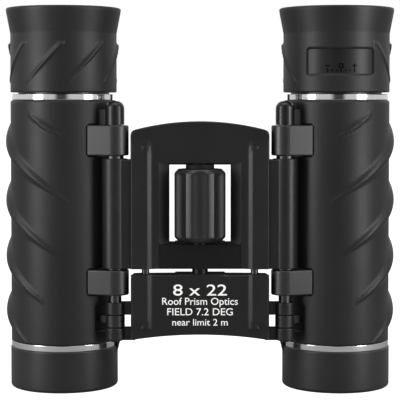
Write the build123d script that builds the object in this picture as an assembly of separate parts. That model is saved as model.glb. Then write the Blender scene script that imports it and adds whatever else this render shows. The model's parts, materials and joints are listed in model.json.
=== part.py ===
from build123d import *
from math import cos, radians, sin, sqrt
import os

# Compact folding roof-prism binoculars, 22 mm class, standing on the objective rims.
# Z is up, from the objective rims to the eyecups. The hinge side faces -Y.

# ---------------------------------------------------------------- clearances, mm
fit = 0.05                  # running fits, on the radius
seat = 0.02                 # fixed round fits, on the radius
slack = 0.1                 # lengthways clearance between faces

# ---------------------------------------------------------------- driving sizes, mm
hinge_x = 20.3              # each hinge axis, from the middle plane
tube_bore = 11.75           # inside of each barrel tube
shoulder_z = 70.0           # top of the barrel and its armour
hood_h = 9.95               # objective hood that it stands on
lower_lug_z = 23.5          # foot of the lower hinge lugs
wheel_r = 6.16              # focus wheel
rod_r = 1.5                 # hinge rods
focus_travel = 1.05         # of the objectives, each way

# ---------------------------------------------------------------- barrel
tube_r = tube_bore + 0.55
armour_r = tube_r + 0.65    # rubber armour
hood_r = tube_r + 0.8
lower_ring_h = 1.5
hood_edge = 0.8             # rounding of the rim it stands on
gusset_out = 0.9            # gusset between the hood and the armour, inboard
gusset_h = 1.95
gusset_half = 2.0
ring_r = armour_r - 0.05    # lower trim ring
ring_soft = 0.15
upper_ring_r = armour_r - 0.45
upper_ring_h = 1.45
upper_ring_flat = tube_r - 0.6      # flat on the inboard side of the upper ring
neck_bore = tube_bore - 1.45        # neck that carries the eyecup
neck_r = neck_bore + 0.8
neck_top = shoulder_z + 14.3
shoulder_h = 1.2            # thickness of the tube's closed top
tube_low = hood_h
armour_low = hood_h + lower_ring_h
armour_soft = 0.6

# ---------------------------------------------------------------- eyecups
carrier_wall = 0.65
carrier_gap = 0.2
eyecup_bottom = shoulder_z + upper_ring_h + 0.45
eyecup_bore = neck_r + fit + carrier_wall
eyecup_r = armour_r + 0.01
flare_r = eyecup_r + 1.11
flare_bottom = neck_top + 1.9
eyecup_top = neck_top + 8.1
eyecup_lip = 0.45           # bevel outside the rim
rim_wall = 1.3
bowl_wall = 1.45
bowl_floor = neck_top + 1.3
scale_half_angle = 38.8     # dioptre window in the right eyecup
scale_low = eyecup_bottom + 4.2
scale_high = eyecup_bottom + 10.3
scale_wall = 0.55

# ---------------------------------------------------------------- hinges
hinge_reach = 4.303         # hinge axis, out from the barrel tube
hinge_lean = 37.905         # degrees that the barrel lies behind the hinge plane
hinge_span = tube_r + hinge_reach
barrel_out = hinge_span * cos(radians(hinge_lean))
barrel_back = hinge_span * sin(radians(hinge_lean))
hinge_bearing = hinge_lean - 180
lug_r = rod_r + 1.8         # barrel lugs, one above and one below the bridge
upper_lug = (shoulder_z - 13.2, shoulder_z - 6.0)
lower_lug = (lower_lug_z, lower_lug_z + 6.0)
lug_web_tilt = 18.0         # the lug's front face leans back towards the barrel
lug_web_length = hinge_reach + 1.4
lug_web_behind = 0.5
lug_outline = 0.3           # dark gap in the armour round each lug
lug_soft = 0.35
rod_top = upper_lug[1] + 2.6
dome_r = rod_r + 0.76       # cap over the top of each hinge rod
dome_top = shoulder_z - 0.25
washer_r = rod_r + 0.6
tube_hinge_r = rod_r + 1.56         # hinge tubes of the bridge frame
tube_end = 0.15             # the tubes stand this far above the plate's shoulders
soft = 0.2                  # rounded ends of the tubes, ears and knuckles

# ---------------------------------------------------------------- bridge frame
frame_half = hinge_x - 3.8
frame_bottom = lower_lug[1] + 0.35
web_top = upper_lug[0] - 0.9
frame_side_top = web_top + 6.8
frame_mid_top = frame_side_top + 2.25
front_depth = 2.6           # bridge faces, before and behind the hinge plane
core_back = 1.2
cover_back = 2.1
cover_inset = 0.5
spine_half = 5.0
spine_back = 3.3
spine_cover = 0.9
window_half = wheel_r + 1.17
window_low = frame_bottom + 6.25
window_high = web_top - 1.3
bevel_half = window_half + 2.47
bevel_depth = 2.2
recess_depth = 0.25         # shallow flat below the window
edge_soft = 0.4             # rounded front edges of the bridge plates
frame_corner = 1.4
plate_corner = 1.0
bead_x = frame_half - 3.5   # rounded beads that house the guide pins
bead_r = 2.2
bead_proud = 0.6
bead_top = window_high + 4.4

# ---------------------------------------------------------------- focus plate and arms
plate_top = frame_bottom - focus_travel - 0.25
ear_r = rod_r + 0.9
ear_soft = 0.25
ear_web_front = 0.9         # webs between the plate and its ears
ear_web_behind = 1.5
ear_h = 3.0
upper_ear_z = lower_lug_z - focus_travel - 3.75
upper_ear = (upper_ear_z, upper_ear_z + ear_h)
lower_ear_z = upper_ear_z - 6.1
lower_ear = (lower_ear_z, lower_ear_z + ear_h)
plate_mid_bottom = lower_ear_z + 1.5
plate_side_bottom = lower_ear_z + 0.2
bead_foot = upper_ear_z - 3.0
rod_bottom = lower_ear_z - 0.4
arm_knuckle = (lower_ear[1] + slack, upper_ear[0] - slack)
arm_knuckle_r = rod_r + 0.8
arm_web = (arm_knuckle[0] + 0.9, arm_knuckle[1] - 0.3)
arm_width = 2.6
slot_clear = 0.9

# ---------------------------------------------------------------- wheel, spindle, pins, screws
wheel_low = window_low + 0.3
wheel_high = window_high - 1.0
wheel_soft = 0.8
hub_r = wheel_r - 1.76
journal_r = 1.9
journal_top = window_high + 3.2
flutes = 7
flute_r = 3.2
flute_depth = 0.7
flute_stop = 0.3
spindle_r = 1.9
spindle_bottom = plate_mid_bottom + 1.4
spindle_top = window_high - 4.1
thrust_r = 3.4
pin_r = 0.9                 # guide pins
pin_top = frame_bottom + 4.15
pin_bottom = plate_top - 8.55
cross_pin_r = 0.6
cross_pin_z = spindle_bottom + 2.5
cross_pin_front = 2.3
screw_x = 9.0
screw_z = (frame_bottom + 2.95, web_top + 2.5)
screw_head_r = 1.3
screw_head_h = 0.5
screw_shank_r = 0.6
screw_length = 2.6
cross_half = 0.8            # cross recess of each screw
cross_width = 0.16
cross_depth = 0.3

# ---------------------------------------------------------------- optics
cell_low = 6.2              # objective cell, slides in the tube
cell_high = arm_web[1] + 1.3
cell_r = tube_bore - fit
cell_bore = cell_r - 0.55
cell_lip = 0.35
cell_lip_h = 0.6
crown_low = cell_low + 1.0
crown_high = crown_low + 1.8
crown_front = 1.4
crown_back = 1.1
flint_back = 0.3
flint_edge = 2.2
lens_ring_h = 1.4
lens_ring_wall = 1.0
cage_low = shoulder_z - 25.5
cage_high = shoulder_z - 7.4
cage_ledge = 0.8
pocket_half = (tube_bore - 1.85) / sqrt(2)
prism_aperture = pocket_half - 0.8
retainer_h = 0.6
eyepiece_low = shoulder_z - 5.4
eyepiece_top = neck_top + 1.7
eyepiece_r = neck_bore - fit
eyepiece_bore = eyepiece_r - 1.95
eyepiece_lip_h = 0.7
eye_aperture = eyepiece_bore - 0.9
stop_aperture = eyepiece_bore - 1.4
stop_up = 0.3
lens_edge = 1.6
eye_bulges = (1.6, 0.4)
field_bulges = (1.2, 1.5)
field_lens_up = 2.6         # field lens rim above the foot of the eyepiece tube

# ---------------------------------------------------------------- derived places
hinge_y = (wheel_r - barrel_back - flare_r) / 2
barrel_x = hinge_x + barrel_out
barrel_y = hinge_y + barrel_back
front_y = hinge_y - front_depth
eyepiece_lip = eyepiece_top - eyepiece_lip_h
eye_rim = (eyepiece_lip - eye_bulges[1] - lens_edge, eyepiece_lip - eye_bulges[1])
field_rim = (eyepiece_low + field_lens_up, eyepiece_low + field_lens_up + lens_edge)


# ---------------------------------------------------------------- helpers
def disc(radius, low, high, x=0.0, y=0.0):
    """Solid cylinder along Z, from height low to height high."""
    return Pos(x, y, (low + high) / 2) * Cylinder(radius, high - low)


def soft_disc(radius, low, high, rounding, x=0.0, y=0.0):
    """Cylinder along Z with both rims rounded."""
    shape = disc(radius, low, high, x, y)
    return fillet(shape.edges().filter_by(GeomType.CIRCLE), rounding)


def ring(outer, inner, low, high):
    """Tube along Z round the origin."""
    return disc(outer, low, high) - disc(inner, low - 1, high + 1)


def slab(x0, x1, y0, y1, z0, z1):
    """Box between two corners."""
    centre = ((x0 + x1) / 2, (y0 + y1) / 2, (z0 + z1) / 2)
    return Pos(*centre) * Box(abs(x1 - x0), abs(y1 - y0), abs(z1 - z0))


def lathe(points):
    """Solid of revolution round Z from an outline of (radius, height) points."""
    outline = Polyline(*[(r, 0, z) for r, z in points], close=True)
    return revolve(make_face(outline), Axis.Z)


def at_barrel(shape):
    """Moves a shape from the origin to the right barrel's axis."""
    return Pos(barrel_x, barrel_y, 0) * shape


def cap_height(radius, sag, out):
    """Height of a spherical cap's surface above its rim, at a distance out from its centre."""
    ball = (radius ** 2 + sag ** 2) / (2 * abs(sag))
    rise = sqrt(ball ** 2 - out ** 2) - (ball - abs(sag))
    return rise if sag > 0 else -rise


def lens(radius, low, high, bulge_low, bulge_high):
    """Lens with its rim between low and high; a positive bulge swells outwards."""
    half = radius / 2
    low_half = low - cap_height(radius, bulge_low, half)
    high_half = high + cap_height(radius, bulge_high, half)
    bottom = ThreePointArc((0, 0, low - bulge_low), (half, 0, low_half), (radius, 0, low))
    rim = Line((radius, 0, low), (radius, 0, high))
    top = ThreePointArc((radius, 0, high), (half, 0, high_half), (0, 0, high + bulge_high))
    axis = Line((0, 0, high + bulge_high), (0, 0, low - bulge_low))
    return revolve(make_face(Curve() + [bottom, rim, top, axis]), Axis.Z)


def rod_hole(low, high, clearance=fit):
    """Bore for the right hinge rod."""
    return disc(rod_r + clearance, low, high, hinge_x, hinge_y)


def sector(half_angle, radius, low, high, bearing=-90.0):
    """Wedge of a cylinder, half_angle each side of a bearing."""
    reach = 2 * radius
    a0, a1 = radians(bearing - half_angle), radians(bearing + half_angle)
    outline = Polyline((0, 0), (reach * cos(a0), reach * sin(a0)),
                       (reach * cos(radians(bearing)), reach * sin(radians(bearing))),
                       (reach * cos(a1), reach * sin(a1)), close=True)
    return Pos(0, 0, low) * extrude(make_face(outline), high - low)


# ---------------------------------------------------------------- barrel and covers
def lug_block(low, high, grow=0.0):
    """Knuckle round the hinge rod and the tilted web that joins it to the barrel."""
    knuckle = disc(lug_r + grow, low - grow, high + grow, hinge_x, hinge_y)
    web = slab(0, lug_web_length + grow, -lug_r - grow, lug_web_behind + grow, low - grow, high + grow)
    return knuckle + Pos(hinge_x, hinge_y, 0) * (Rot(0, 0, lug_web_tilt) * web)


def lug(low, high):
    """The lug with its top and bottom edges rounded."""
    block = lug_block(low, high)
    rims = [e for e in block.edges() if abs(e.center().Z - low) < 0.01 or abs(e.center().Z - high) < 0.01]
    return fillet(rims, lug_soft)


def arm_slot(width, low, high):
    """Opening in the barrel wall, on the hinge side, for the focus arm."""
    cut = slab(tube_bore - 2, hinge_span, -width / 2, width / 2, low, high)
    return at_barrel(Rot(0, 0, hinge_bearing) * cut)


def barrel_body():
    """Metal barrel tube with its two hinge lugs and the neck for the eyepiece."""
    tube = ring(tube_r, tube_bore, tube_low, shoulder_z)
    top = ring(tube_r, neck_bore, shoulder_z - shoulder_h, shoulder_z)
    neck = ring(neck_r, neck_bore, shoulder_z - shoulder_h, neck_top)
    body = at_barrel(tube + top + neck)
    hollow = at_barrel(disc((tube_r + tube_bore) / 2, tube_low, shoulder_z))
    for low, high in (upper_lug, lower_lug):
        body += (lug(low, high) - hollow) - rod_hole(low - 1, high + 1)
    slot_low = arm_web[0] - focus_travel - slot_clear
    slot_high = arm_web[1] + focus_travel + slot_clear
    return body - arm_slot(arm_width + 1.0, slot_low, slot_high)


def armour():
    """Rubber armour sleeve, open round the lugs and the focus arm."""
    sleeve = disc(armour_r, armour_low, shoulder_z)
    rim = sleeve.edges().filter_by(GeomType.CIRCLE).sort_by(Axis.Z)[-1]
    sleeve = at_barrel(fillet(rim, armour_soft))
    shape = sleeve - at_barrel(disc(tube_r, armour_low - 1, shoulder_z + 1))
    shape -= rod_cap_block(slack)
    for low, high in (upper_lug, lower_lug):
        shape -= lug_block(low, high, lug_outline)
    slot_low = arm_web[0] - focus_travel - slot_clear - 0.3
    slot_high = arm_web[1] + focus_travel + slot_clear + 0.3
    return shape - arm_slot(arm_width + 1.6, slot_low, slot_high)


def rod_cap_block(grow=0.0):
    """Domed post over the hinge rod and the root that joins it to the barrel's shoulder."""
    low = upper_lug[1] + slack - grow
    post = disc(dome_r + grow, low, dome_top + grow, hinge_x, hinge_y)
    post = fillet(post.edges().filter_by(GeomType.CIRCLE).sort_by(Axis.Z)[-1], 0.8 * dome_r)
    half = 0.75 * dome_r + grow
    root = slab(0, hinge_span - tube_r, -half, half, low, shoulder_z - dome_r + grow)
    return post + Pos(hinge_x, hinge_y, 0) * (Rot(0, 0, hinge_bearing + 180) * root)


def rod_cap():
    """Cap over the top end of the hinge rod."""
    cap = rod_cap_block() - at_barrel(disc(tube_r, armour_low, shoulder_z))
    return cap - rod_hole(upper_lug[0], rod_top + slack)


def objective_hood():
    """Ring that shades the objective, with a gusset on its inboard side."""
    outer = disc(hood_r, 0, hood_h)
    edges = outer.edges().filter_by(GeomType.CIRCLE).sort_by(Axis.Z)
    outer = fillet(edges[0], hood_edge)
    outer = fillet(outer.edges().filter_by(GeomType.CIRCLE).sort_by(Axis.Z)[-1], 0.35)
    foot = hood_h - gusset_h
    inner = armour_r + fit
    wedge = Polyline((-inner, foot), (-armour_r - gusset_out, armour_low), (-inner, armour_low), close=True)
    gusset = extrude(make_face(Plane.XZ * wedge), gusset_half, both=True)
    gusset &= ring(armour_r + gusset_out, inner, foot - 1, armour_low)
    root = slab(-armour_r - 0.4, -armour_r + 0.8, -gusset_half, gusset_half, foot, hood_h - 0.4)
    return at_barrel(outer + gusset + (root & disc(hood_r, 0, hood_h)) - disc(tube_bore, -1, hood_h + 1))


def lower_trim_ring():
    """Bright ring between the hood and the armour."""
    band = soft_disc(ring_r, hood_h, armour_low, ring_soft)
    return at_barrel(band - disc(tube_r + seat, hood_h - 1, armour_low + 1))


def upper_trim_ring():
    """Bright ring under the eyecup, with a flat on its inboard side."""
    high = shoulder_z + upper_ring_h
    band = soft_disc(upper_ring_r, shoulder_z, high, ring_soft)
    reach = 2 * upper_ring_r
    band &= slab(-upper_ring_flat, reach, -reach, reach, shoulder_z - 1, high + 1)
    return at_barrel(band - disc(neck_r + seat, shoulder_z - 1, high + 1))


# ---------------------------------------------------------------- optics
def prism_cage():
    """Sleeve with a square pocket that holds both prisms, and a ledge under them."""
    sleeve = disc(tube_bore - seat, cage_low, cage_high)
    half = pocket_half
    pocket = slab(-half, half, -half, half, cage_low + cage_ledge, cage_high + 1)
    return at_barrel(sleeve - pocket - disc(prism_aperture, cage_low - 1, cage_high))


def side_prism(points):
    """Prism drawn in the YZ plane and extruded across the pocket."""
    face = make_face(Plane.YZ * Polyline(*points, close=True))
    return at_barrel(extrude(face, pocket_half - slack, both=True))


def helper_prism():
    """Half-penta prism below the roof prism."""
    edge = pocket_half - slack
    low = cage_low + cage_ledge
    return side_prism([(-edge, low), (edge, low), (edge, low + 0.23 * edge),
                       (-0.48 * edge, low + 1.1 * edge), (-edge, low + 0.78 * edge)])


def roof_prism():
    """Roof prism, with its ridge towards the hinge side."""
    edge = pocket_half - slack
    low = cage_low + cage_ledge
    high = cage_high - slack
    return side_prism([(edge, low + 0.29 * edge), (edge, high), (-0.62 * edge, high),
                       (-edge, high - 0.62 * edge), (-0.54 * edge, low + 1.22 * edge)])


def prism_retainer():
    """Thin ring that holds the prisms down in their cage."""
    return at_barrel(ring(tube_bore - seat, prism_aperture, cage_high, cage_high + retainer_h))


def eyepiece_tube():
    """Tube of the eyepiece, with a lip at the top."""
    tube = ring(eyepiece_r, eyepiece_bore, eyepiece_low, eyepiece_top)
    return at_barrel(tube + ring(eyepiece_bore + 0.5, eye_aperture, eyepiece_lip, eyepiece_top))


def eye_lens():
    """Lens next to the eye."""
    return at_barrel(lens(eyepiece_bore - seat, *eye_rim, *eye_bulges))


def eyepiece_spacer():
    """Ring that keeps the two eyepiece lenses apart, touching each on its inner edge."""
    low = field_rim[1] + cap_height(eyepiece_bore - seat, field_bulges[1], eye_aperture)
    high = eye_rim[0] - cap_height(eyepiece_bore - seat, eye_bulges[0], eye_aperture)
    return at_barrel(ring(eyepiece_bore - seat, eye_aperture, low + seat, high - seat))


def field_lens():
    """Lens at the lower end of the eyepiece."""
    return at_barrel(lens(eyepiece_bore - seat, *field_rim, *field_bulges))


def field_stop():
    """Threaded ring that closes the eyepiece from below."""
    high = field_rim[0] - cap_height(eyepiece_bore - seat, field_bulges[0], stop_aperture)
    return at_barrel(ring(eyepiece_bore - seat, stop_aperture, eyepiece_low + stop_up, high - seat))


def objective_cell():
    """Sliding cell of the objective, with the focus arm that reaches the hinge rod."""
    tube = ring(cell_r, cell_bore, cell_low, cell_high)
    lip = ring(cell_r, cell_bore - cell_lip, cell_low, cell_low + cell_lip_h)
    bar = slab(cell_bore + 0.1, hinge_span, -arm_width / 2, arm_width / 2, *arm_web)
    knuckle = soft_disc(arm_knuckle_r, *arm_knuckle, soft, hinge_x, hinge_y)
    cell = at_barrel(tube + lip + Rot(0, 0, hinge_bearing) * bar) + knuckle
    return cell - rod_hole(arm_knuckle[0] - 1, arm_knuckle[1] + 1)


def crown_lens():
    """Front element of the objective."""
    return at_barrel(lens(cell_bore - seat, crown_low, crown_high, crown_front, crown_back))


def flint_lens():
    """Rear element of the objective, hollow where it meets the crown."""
    low = crown_high + seat
    return at_barrel(lens(cell_bore - seat, low, low + flint_edge, -crown_back, -flint_back))


def lens_retainer():
    """Threaded ring behind the objective lenses."""
    low = crown_high + flint_edge + 2 * seat
    return at_barrel(ring(cell_bore - seat, cell_bore - lens_ring_wall, low, low + lens_ring_h))


# ---------------------------------------------------------------- eyecups
def eyecup():
    """Fold-down rubber eyecup: a straight skirt, a floor and a flared bowl."""
    outline = [(eyecup_bore, eyecup_bottom), (eyecup_r, eyecup_bottom), (eyecup_r, flare_bottom),
               (flare_r, eyecup_top - eyecup_lip), (flare_r - eyecup_lip, eyecup_top),
               (flare_r - rim_wall, eyecup_top), (eyecup_r - bowl_wall, bowl_floor),
               (neck_bore + fit, bowl_floor),
               (neck_bore + fit, neck_top + slack), (eyecup_bore, neck_top + slack)]
    return at_barrel(lathe(outline))


def right_eyecup():
    """The eyecup with the window over the dioptre scale."""
    window = sector(scale_half_angle, eyecup_r, scale_low, scale_high)
    ring_wall = ring(eyecup_r + 1, eyecup_bore - 0.2, scale_low, scale_high)
    return eyecup() - at_barrel(window & ring_wall)


def eyecup_carrier():
    """Hard sleeve inside the eyecup's skirt, turning on the neck."""
    return at_barrel(ring(eyecup_bore - seat, neck_r + fit, eyecup_bottom + carrier_gap, neck_top))


def diopter_scale():
    """Curved plate with the dioptre marks, set in the eyecup's window."""
    plate = ring(eyecup_bore + scale_wall, eyecup_bore, scale_low + slack, scale_high - slack)
    return at_barrel(plate & sector(scale_half_angle - 0.5, eyecup_r, scale_low, scale_high))


# ---------------------------------------------------------------- bridge
def plate_outline(low_side, low_mid, high_side, high_mid, corner):
    """Bridge plate seen from the front: straight sides, arched top and bottom."""
    half = frame_half
    top = ThreePointArc((half, high_side), (0, high_mid), (-half, high_side))
    left = Line((-half, high_side), (-half, low_side))
    bottom = Line((-half, low_side), (half, low_side))
    if low_mid != low_side:
        bottom = ThreePointArc((-half, low_side), (0, low_mid), (half, low_side))
    right = Line((half, low_side), (half, high_side))
    face = make_face(Curve() + [top, left, bottom, right])
    return fillet(face.vertices().sort_by(Axis.Y)[-2:], corner)


def plate_solid(face, y0, y1, rounding=0.0):
    """Extrudes a face drawn in X and Z to span y0 to y1, with its front edges rounded."""
    solid = Pos(0, y1, 0) * extrude(Plane.XZ * face, y1 - y0)
    if rounding:
        solid = fillet(solid.edges().filter_by_position(Axis.Y, y0 - 0.01, y0 + 0.01), rounding)
    return solid


def beads(low, high):
    """Rounded vertical beads on the front of a bridge plate."""
    y = front_y - bead_proud + bead_r
    return disc(bead_r, low, high, bead_x, y) + disc(bead_r, low, high, -bead_x, y)


def both_sides(shape):
    """A right-hand shape together with its mirror image."""
    return shape + mirror(shape, about=Plane.YZ)


def guide_holes(low, high, clearance):
    """Bores for the two guide pins."""
    y = front_y - bead_proud + bead_r
    hole = disc(pin_r + clearance, low, high, bead_x, y)
    return both_sides(hole)


def screw_places():
    """Centres of the four cover screws."""
    return [(side * screw_x, z) for side in (-1, 1) for z in screw_z]


def along_y(radius, x, z, y0, y1):
    """Cylinder along Y."""
    return Pos(x, (y0 + y1) / 2, z) * (Rot(90, 0, 0) * Cylinder(radius, y1 - y0))


def bridge_frame():
    """Cast frame between the hinges, with the wheel's window."""
    face = plate_outline(frame_bottom, frame_bottom, frame_side_top, frame_mid_top, frame_corner)
    middle = (frame_bottom + web_top) / 2
    face += Pos(0, middle) * Rectangle(2 * hinge_x, web_top - frame_bottom)
    frame = plate_solid(face, front_y, hinge_y + core_back, edge_soft)
    frame += slab(-spine_half, spine_half, hinge_y, hinge_y + spine_back, frame_bottom, window_low)
    frame += slab(-spine_half, spine_half, hinge_y, hinge_y + spine_back, window_high, frame_side_top - 1)
    frame += beads(frame_bottom, bead_top)
    frame += both_sides(soft_disc(tube_hinge_r, frame_bottom, web_top + tube_end, soft, hinge_x, hinge_y))
    deep = front_y + bevel_depth
    bevel = Polyline((-bevel_half, front_y - 1), (-bevel_half, front_y), (-window_half, deep),
                     (window_half, deep), (bevel_half, front_y), (bevel_half, front_y - 1), close=True)
    frame -= Pos(0, 0, window_low - 0.5) * extrude(make_face(bevel), window_high - window_low + 1.0)
    frame -= slab(-window_half, window_half, front_y - 5, hinge_y + 8, window_low, window_high)
    flat = front_y + recess_depth
    frame -= slab(-bevel_half, bevel_half, front_y - 1, flat, frame_bottom - 1, window_low)
    frame -= disc(spindle_r + slack, frame_bottom - 1, window_low + 1, 0, hinge_y)
    frame -= disc(journal_r + fit, window_high - 1, journal_top + slack, 0, hinge_y)
    frame -= both_sides(rod_hole(frame_bottom - 1, web_top + 2, seat))
    frame -= guide_holes(frame_bottom - 1, pin_top, seat)
    for x, z in screw_places():
        frame -= along_y(screw_shank_r + seat, x, z, hinge_y + cover_back - screw_length - 0.1, hinge_y + 5)
    return frame


def bridge_back_cover():
    """Thin cover screwed to the back of the frame, raised over the frame's spine."""
    face = plate_outline(frame_bottom, frame_bottom, frame_side_top - cover_inset,
                         frame_mid_top - cover_inset, frame_corner)
    cover = plate_solid(face, hinge_y + core_back, hinge_y + cover_back)
    back = hinge_y + spine_back + spine_cover
    cover += slab(-spine_half - 1, spine_half + 1, hinge_y + core_back, back, frame_bottom, frame_side_top)
    cover -= slab(-window_half, window_half, hinge_y, hinge_y + 8, window_low, window_high)
    for low, high in ((frame_bottom - 1, window_low), (window_high, frame_side_top - 1 + slack)):
        half = spine_half + slack
        cover -= slab(-half, half, hinge_y, hinge_y + spine_back + slack, low, high)
    for x, z in screw_places():
        cover -= along_y(screw_shank_r + slack, x, z, hinge_y, hinge_y + 5)
        cover -= along_y(screw_head_r + slack, x, z, hinge_y + cover_back - screw_head_h, hinge_y + 5)
    return cover


def bridge_screws():
    """Four cross-head screws that hold the back cover."""
    screws = []
    back = hinge_y + cover_back
    for x, z in screw_places():
        screw = along_y(screw_head_r, x, z, back - screw_head_h, back)
        screw += along_y(screw_shank_r, x, z, back - screw_length, back - screw_head_h)
        for half, width in ((cross_half, cross_width), (cross_width, cross_half)):
            screw -= slab(x - half, x + half, back - cross_depth, back + 1, z - width, z + width)
        screws.append(screw)
    return Compound(children=screws)


def hinge_rod():
    """Steel rod through the lugs, the frame tube, the ears and the focus arm."""
    rod = disc(rod_r, rod_bottom, rod_top, hinge_x, hinge_y)
    return chamfer(rod.edges().filter_by(GeomType.CIRCLE), 0.3)


def hinge_washers():
    """Washers above and below each hinge tube of the frame."""
    shapes = []
    for side in (-1, 1):
        for low, high in ((web_top + tube_end, upper_lug[0] - slack), (lower_lug[1] + slack, frame_bottom)):
            washer = ring(washer_r, rod_r + fit, low, high)
            shapes.append(Pos(side * hinge_x, hinge_y, 0) * washer)
    return Compound(children=shapes)


def guide_pins():
    """Two pins that keep the focus plate square to the frame."""
    y = front_y - bead_proud + bead_r
    pins = [disc(pin_r, pin_bottom, pin_top, side * bead_x, y) for side in (-1, 1)]
    return Compound(children=pins)


def wheel_thrust_washers():
    """Washers between the wheel's ends and the window."""
    upper = ring(thrust_r, journal_r + fit, wheel_high + slack, window_high)
    lower = ring(thrust_r, spindle_r + slack, window_low, wheel_low - slack)
    return Compound(children=[Pos(0, hinge_y, 0) * upper, Pos(0, hinge_y, 0) * lower])


# ---------------------------------------------------------------- focusing
def focus_wheel_hub():
    """Hub with an upper journal, threaded inside for the spindle."""
    hub = disc(hub_r, wheel_low, wheel_high) + disc(journal_r, wheel_high - 1, journal_top)
    hub -= disc(spindle_r + fit, wheel_low - 1, spindle_top + focus_travel + 1)
    return Pos(0, hinge_y, 0) * hub


def focus_wheel_grip():
    """Fluted ring round the hub, one flute facing the front."""
    grip = disc(wheel_r, wheel_low, wheel_high)
    grip = fillet(grip.edges().filter_by(GeomType.CIRCLE), wheel_soft)
    low = wheel_low + flute_stop + flute_r
    high = wheel_high - flute_stop - flute_r
    reach = wheel_r + flute_r - flute_depth
    groove = disc(flute_r, low, high, 0, -reach)
    groove += Pos(0, -reach, low) * Sphere(flute_r)
    groove += Pos(0, -reach, high) * Sphere(flute_r)
    for turn in range(flutes):
        grip -= Rot(0, 0, turn * 360 / flutes) * groove
    grip -= disc(hub_r + seat, wheel_low - 1, wheel_high + 1)
    return Pos(0, hinge_y, 0) * grip


def focus_plate():
    """Plate that the wheel moves along the hinge rods, with two ears at each side."""
    face = plate_outline(plate_side_bottom, plate_mid_bottom, plate_top - slack, plate_top, plate_corner)
    plate = plate_solid(face, front_y, hinge_y + cover_back, edge_soft)
    back = hinge_y + spine_back + spine_cover
    plate += slab(-spine_half - 1, spine_half + 1, hinge_y, back, plate_mid_bottom + cover_inset, plate_top)
    plate += beads(bead_foot, plate_top)
    for low, high in (upper_ear, lower_ear):
        ear = soft_disc(ear_r, low, high, ear_soft, hinge_x, hinge_y)
        ear += slab(frame_half - 1, hinge_x, hinge_y - ear_web_front, hinge_y + ear_web_behind, low, high)
        plate += both_sides(ear - rod_hole(low - 1, high + 1))
    plate -= guide_holes(pin_bottom - focus_travel - 0.5, plate_top + 1, fit)
    plate -= disc(spindle_r + seat, spindle_bottom, plate_top + 1, 0, hinge_y)
    plate -= along_y(cross_pin_r + seat, 0, cross_pin_z, hinge_y - cross_pin_front, back + 1)
    return plate


def focus_spindle():
    """Threaded spindle, pinned in the plate and driven by the wheel."""
    spindle = disc(spindle_r, spindle_bottom, spindle_top, 0, hinge_y)
    reach = spindle_r + 1
    return spindle - along_y(cross_pin_r + seat, 0, cross_pin_z, hinge_y - reach, hinge_y + reach)


def spindle_pin():
    """Cross pin that locks the spindle in the plate."""
    front = hinge_y - cross_pin_front + seat
    return along_y(cross_pin_r, 0, cross_pin_z, front, hinge_y + spine_back + spine_cover)


# ---------------------------------------------------------------- writing the nodes
paired = {
    "barrel_body": barrel_body,
    "armour": armour,
    "rod_cap": rod_cap,
    "objective_hood": objective_hood,
    "lower_trim_ring": lower_trim_ring,
    "upper_trim_ring": upper_trim_ring,
    "prism_cage": prism_cage,
    "helper_prism": helper_prism,
    "roof_prism": roof_prism,
    "prism_retainer": prism_retainer,
    "eyepiece_tube": eyepiece_tube,
    "eye_lens": eye_lens,
    "eyepiece_spacer": eyepiece_spacer,
    "field_lens": field_lens,
    "field_stop": field_stop,
    "objective_cell": objective_cell,
    "crown_lens": crown_lens,
    "flint_lens": flint_lens,
    "lens_retainer": lens_retainer,
    "hinge_rod": hinge_rod,
}
single = {
    "diopter_ring": eyecup_carrier,
    "diopter_scale": diopter_scale,
    "right_eyecup": right_eyecup,
    "bridge_frame": bridge_frame,
    "bridge_back_cover": bridge_back_cover,
    "bridge_screws": bridge_screws,
    "hinge_washers": hinge_washers,
    "guide_pins": guide_pins,
    "wheel_thrust_washers": wheel_thrust_washers,
    "focus_wheel_hub": focus_wheel_hub,
    "focus_wheel_grip": focus_wheel_grip,
    "focus_plate": focus_plate,
    "focus_spindle": focus_spindle,
    "spindle_pin": spindle_pin,
}

nodes = {name: make() for name, make in single.items()}
nodes["left_eyecup"] = mirror(eyecup(), about=Plane.YZ)
nodes["left_eyecup_carrier"] = mirror(eyecup_carrier(), about=Plane.YZ)
for name, make in paired.items():
    shape = make()
    nodes["right_" + name] = shape
    nodes["left_" + name] = mirror(shape, about=Plane.YZ)

os.makedirs("parts", exist_ok=True)
for name, shape in sorted(nodes.items()):
    export_step(shape, f"parts/{name}.step")
print(len(nodes), "nodes written")
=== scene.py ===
# %% [markdown]
# # Compact folding binoculars
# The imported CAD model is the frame: it holds every working part at its real size and place. This
# lesson gives the parts their looks. Rubber skins, the fluted wheel, the printing and the bright
# rings are surfaces worked out with numpy; the precise CAD parts keep their own meshes and only get
# a finish.

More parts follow.
